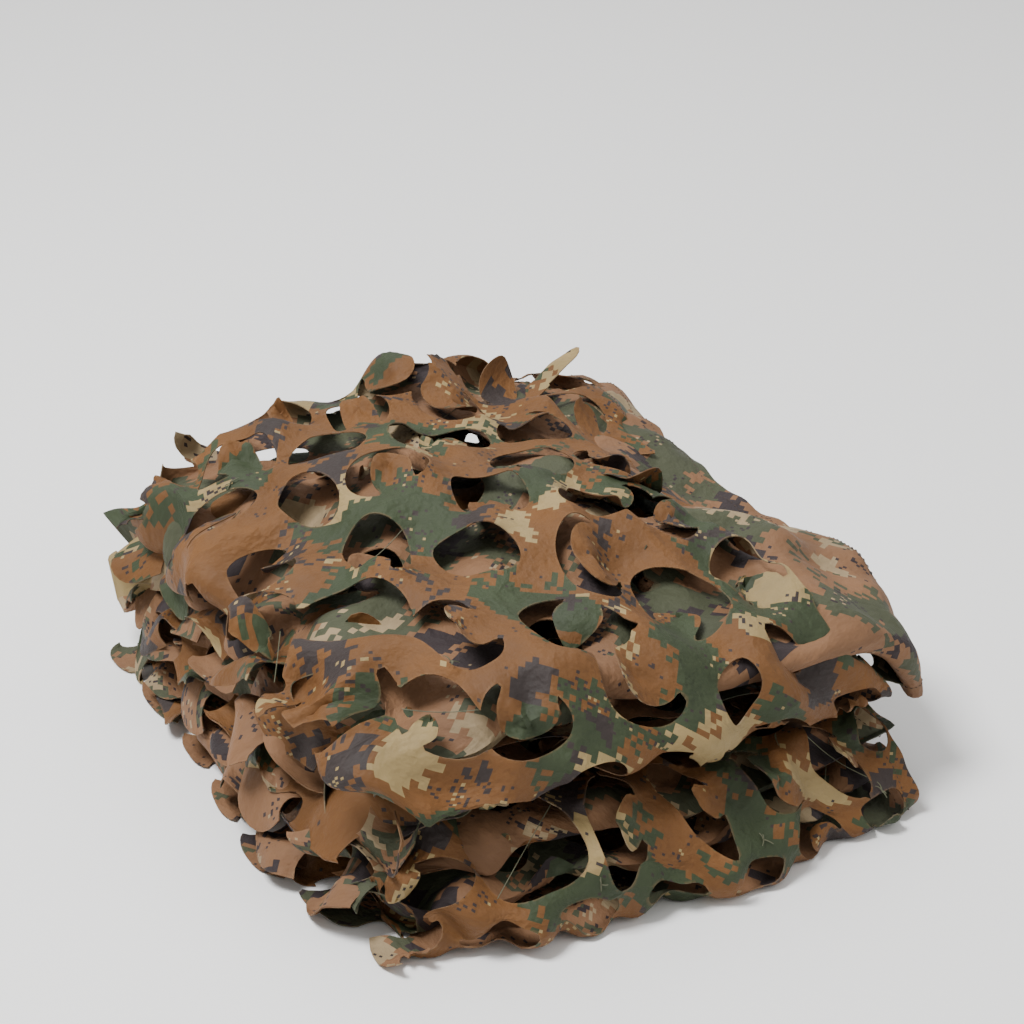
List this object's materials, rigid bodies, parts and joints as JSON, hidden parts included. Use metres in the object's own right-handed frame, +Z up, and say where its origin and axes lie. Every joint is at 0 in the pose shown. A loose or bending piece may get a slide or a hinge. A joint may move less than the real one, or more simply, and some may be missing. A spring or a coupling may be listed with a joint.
{
  "type": "camouflage net",
  "caption": "Folded camouflage net: one hemmed, leaf-cut sheet of cloth with round and crescent openings, folded back and forth into two stacks.",
  "frame": {"origin": "middle of the bundle's bounding box, on the surface it rests on", "axes": "+X along the front folds, towards the hemmed edge; +Y from the front folds to the back; +Z up"},
  "size_m": [0.3956, 0.4548, 0.1797],
  "materials": {
    "camouflage_cloth": "matte printed polyester, blocks of brown, dark green, tan and dark purple-brown"
  },
  "bodies": {
    "root": {"net_cloth": "camouflage_cloth"}
  },
  "joints": []
}
